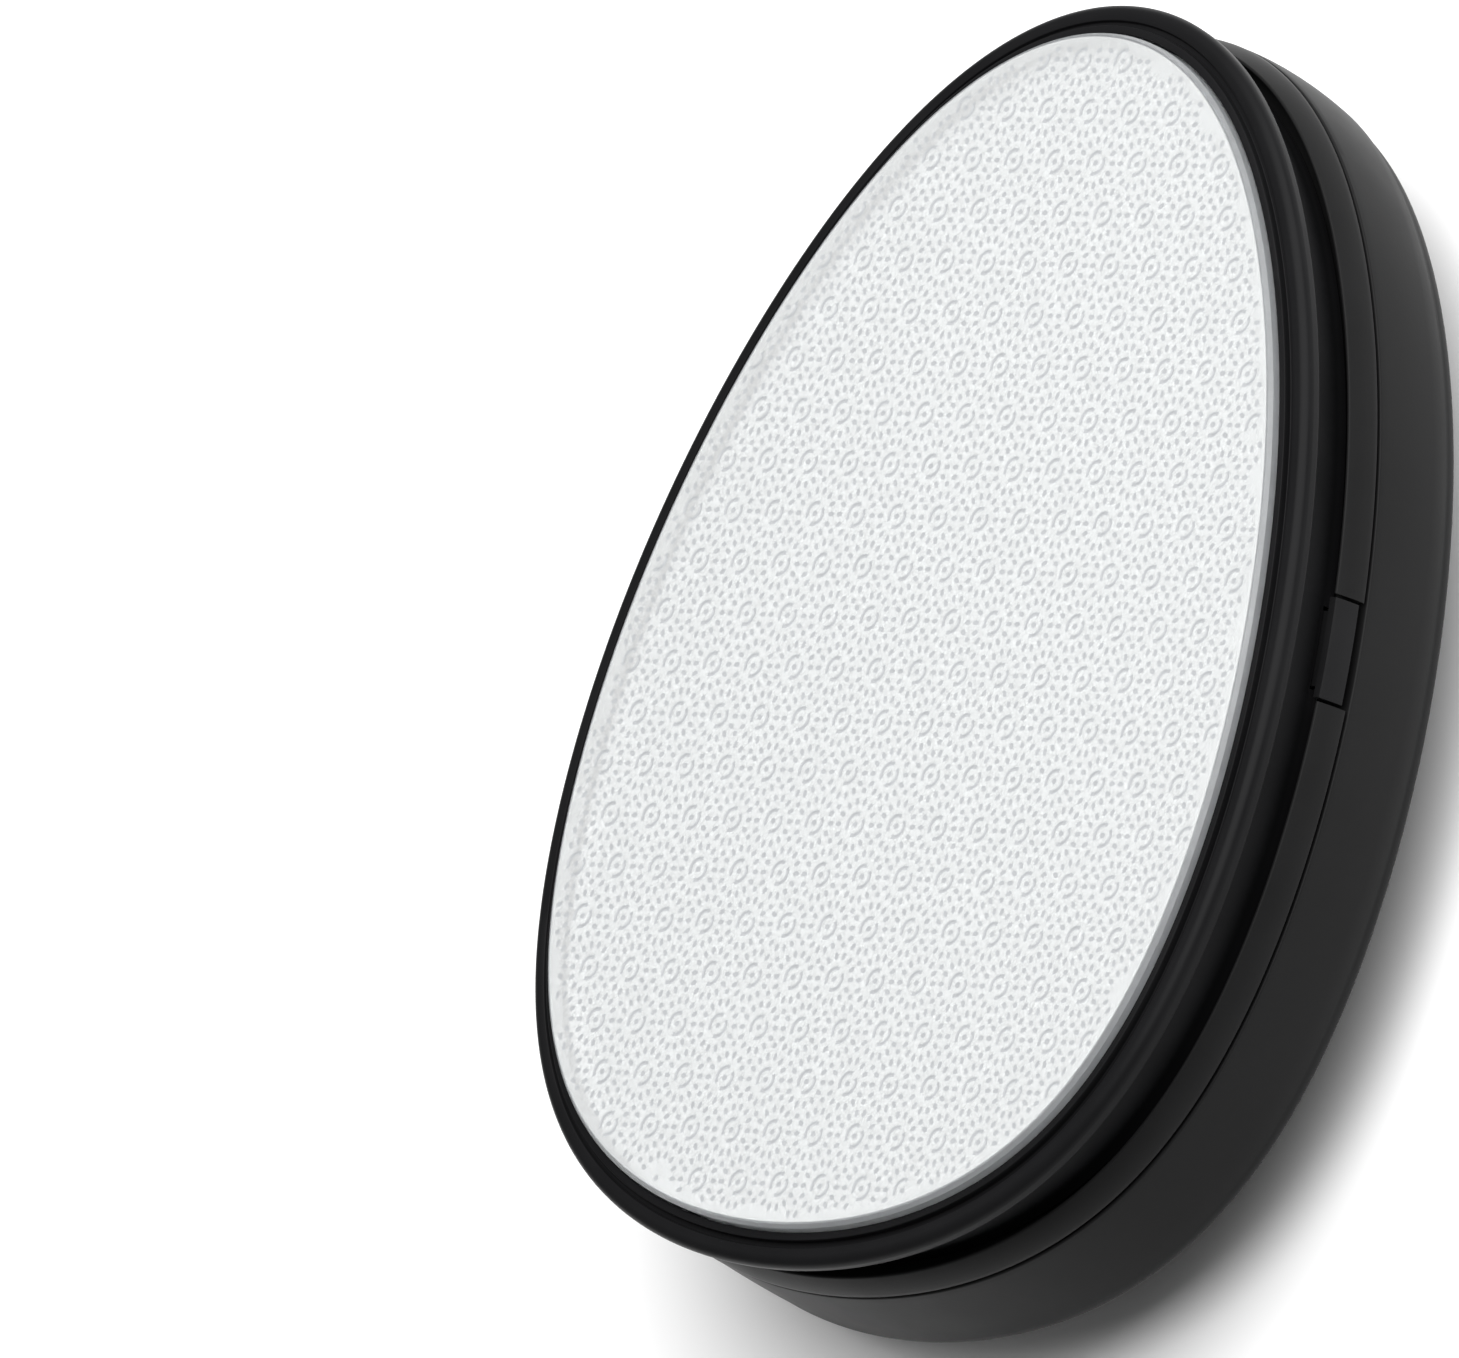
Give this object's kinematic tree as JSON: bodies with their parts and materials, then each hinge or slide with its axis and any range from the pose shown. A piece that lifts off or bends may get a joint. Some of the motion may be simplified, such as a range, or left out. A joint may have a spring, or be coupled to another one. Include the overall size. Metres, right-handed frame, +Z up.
{
  "type": "glass foot file",
  "caption": "Egg-shaped hand grip with a lift-off head that holds an etched glass filing plate in a raised bezel, with a sprung release tab on each side.",
  "frame": {"origin": "centre of the overall box, at the bottom: under the middle of the file, on the surface that the crest of the domed grip rests on", "axes": "+X towards the narrow end of the egg, +Y across the file, +Z up, square to the glass face"},
  "size_m": [0.1028, 0.078, 0.0262],
  "materials": {
    "black_plastic": "satin black ABS, smooth",
    "dark_plastic": "satin black acetal, smooth",
    "white_plastic": "matt white ABS",
    "adhesive_tape": "thin white adhesive sheet",
    "etched_glass": "frosted white face etched with a close pattern of ringed medallions, clear ground edge",
    "steel": "zinc-plated"
  },
  "bodies": {
    "grip": {"grip_shell": "black_plastic"},
    "head": {"head_frame": "black_plastic", "bezel": "black_plastic", "backing_plate": "white_plastic", "adhesive_sheet": "adhesive_tape", "glass_plate": "etched_glass", "bezel_screw_1": "steel", "bezel_screw_2": "steel", "bezel_screw_3": "steel", "bezel_screw_4": "steel", "bezel_screw_5": "steel", "bezel_screw_6": "steel"},
    "tab_front": {"release_tab_front": "dark_plastic"},
    "tab_rear": {"release_tab_rear": "dark_plastic"}
  },
  "joints": [
    {"name": "head_lift", "type": "slide", "parent": "grip", "child": "head", "axis": [0, 0, 1], "range_m": [0, 0.03]},
    {"name": "press_tab_front", "type": "slide", "parent": "head", "child": "tab_front", "axis": [0, 1, 0], "range_m": [0, 0.0006], "stiffness_N_per_m": 1500},
    {"name": "press_tab_rear", "type": "slide", "parent": "head", "child": "tab_rear", "axis": [0, -1, 0], "range_m": [0, 0.0006], "stiffness_N_per_m": 1500}
  ]
}
